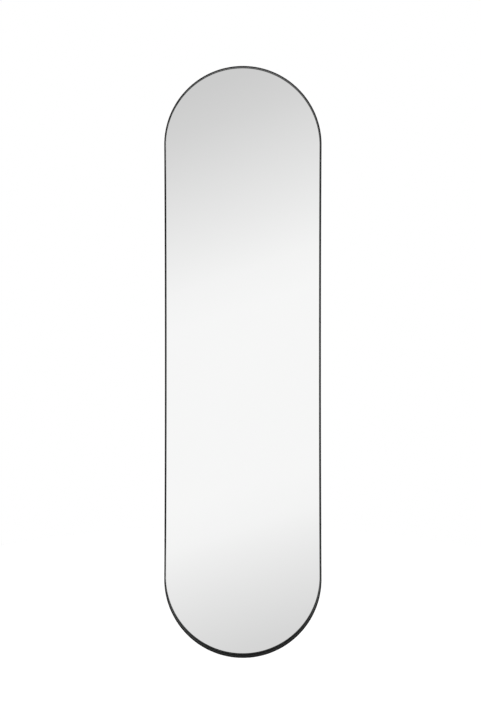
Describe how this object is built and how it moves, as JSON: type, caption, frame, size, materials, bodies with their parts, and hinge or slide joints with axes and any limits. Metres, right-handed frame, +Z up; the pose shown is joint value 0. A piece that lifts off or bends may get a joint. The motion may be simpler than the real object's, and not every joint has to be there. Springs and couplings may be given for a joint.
{
  "type": "pull-out closet mirror",
  "caption": "Tall pill-shaped mirror in a thin black frame that pulls out on telescopic slides and swivels to face the user.",
  "frame": {"origin": "centre of the base plate's back face, where it lies on the closet's side panel, level with the middle of the mirror", "axes": "+Z up; +X the way the mirror pulls out of the closet; +Y into the side panel, so the stowed mirror faces -Y"},
  "size_m": [0.319, 0.0635, 1.2],
  "materials": {
    "frame_coat": "satin black powder coat",
    "silvered_glass": "clear silvered float glass",
    "board_paint": "fibreboard, painted matt black",
    "foam_tape": "closed-cell foam",
    "hardware_coat": "fine-texture black powder coat",
    "zinc_steel": "bright zinc plate",
    "cage_steel": "bare bright steel, lightly oiled",
    "bright_steel": "zinc-plated fasteners",
    "nylon": "natural nylon",
    "black_plastic": "moulded, fine spark texture",
    "rubber": "matt"
  },
  "bodies": {
    "base": {"base_plate": "hardware_coat", "upper_outer_member": "zinc_steel", "upper_rear_stop": "black_plastic", "upper_rear_slide_screw": "bright_steel", "upper_front_slide_screw": "bright_steel", "lower_outer_member": "zinc_steel", "lower_rear_stop": "black_plastic", "lower_rear_slide_screw": "bright_steel", "lower_front_slide_screw": "bright_steel"},
    "upper_outer_cage": {"upper_outer_ball_cage": "cage_steel"},
    "upper_middle": {"upper_middle_member": "zinc_steel"},
    "upper_inner_cage": {"upper_inner_ball_cage": "cage_steel"},
    "lower_outer_cage": {"lower_outer_ball_cage": "cage_steel"},
    "lower_middle": {"lower_middle_member": "zinc_steel"},
    "lower_inner_cage": {"lower_inner_ball_cage": "cage_steel"},
    "carriage": {"carriage_post": "hardware_coat", "top_post_cap": "black_plastic", "bottom_post_cap": "black_plastic", "upper_inner_member": "zinc_steel", "upper_pivot_arm": "hardware_coat", "upper_rear_post_screw": "bright_steel", "upper_front_post_screw": "bright_steel", "upper_pivot_bolt": "bright_steel", "upper_pivot_nut": "bright_steel", "upper_friction_washer": "nylon", "upper_rest_bracket": "hardware_coat", "upper_rest_pad": "rubber", "upper_rest_screw": "bright_steel", "lower_inner_member": "zinc_steel", "lower_pivot_arm": "hardware_coat", "lower_rear_post_screw": "bright_steel", "lower_front_post_screw": "bright_steel", "lower_pivot_bolt": "bright_steel", "lower_pivot_nut": "bright_steel", "lower_friction_washer": "nylon", "lower_rest_bracket": "hardware_coat", "lower_rest_pad": "rubber", "lower_rest_screw": "bright_steel"},
    "mirror_panel": {"mirror_frame": "frame_coat", "mirror_pane": "silvered_glass", "rear_pane_tape": "foam_tape", "front_pane_tape": "foam_tape", "backing_board": "board_paint", "hinge_stile": "hardware_coat", "upper_pivot_bracket": "hardware_coat", "upper_pivot_bush": "nylon", "upper_bracket_low_screw": "bright_steel", "upper_bracket_high_screw": "bright_steel", "lower_pivot_bracket": "hardware_coat", "lower_pivot_bush": "nylon", "lower_bracket_low_screw": "bright_steel", "lower_bracket_high_screw": "bright_steel"}
  },
  "joints": [
    {"name": "pull_out", "type": "slide", "parent": "base", "child": "carriage", "axis": [1, 0, 0], "range_m": [0, 0.3]},
    {"name": "upper_middle_travel", "type": "slide", "parent": "base", "child": "upper_middle", "axis": [1, 0, 0], "range_m": [0, 0.15]},
    {"name": "upper_outer_cage_travel", "type": "slide", "parent": "base", "child": "upper_outer_cage", "axis": [1, 0, 0], "range_m": [0, 0.075]},
    {"name": "upper_inner_cage_travel", "type": "slide", "parent": "base", "child": "upper_inner_cage", "axis": [1, 0, 0], "range_m": [0, 0.225]},
    {"name": "lower_middle_travel", "type": "slide", "parent": "base", "child": "lower_middle", "axis": [1, 0, 0], "range_m": [0, 0.15]},
    {"name": "lower_outer_cage_travel", "type": "slide", "parent": "base", "child": "lower_outer_cage", "axis": [1, 0, 0], "range_m": [0, 0.075]},
    {"name": "lower_inner_cage_travel", "type": "slide", "parent": "base", "child": "lower_inner_cage", "axis": [1, 0, 0], "range_m": [0, 0.225]},
    {"name": "swivel", "type": "hinge", "parent": "carriage", "child": "mirror_panel", "pos_m": [0.1435, -0.03253, 0], "axis": [0, 0, 1], "range_deg": [0, 90]}
  ],
  "couplings": [
    {"joint": "upper_middle_travel", "follows": "pull_out", "ratio": 0.5},
    {"joint": "upper_outer_cage_travel", "follows": "pull_out", "ratio": 0.25},
    {"joint": "upper_inner_cage_travel", "follows": "pull_out", "ratio": 0.75},
    {"joint": "lower_middle_travel", "follows": "pull_out", "ratio": 0.5},
    {"joint": "lower_outer_cage_travel", "follows": "pull_out", "ratio": 0.25},
    {"joint": "lower_inner_cage_travel", "follows": "pull_out", "ratio": 0.75}
  ]
}
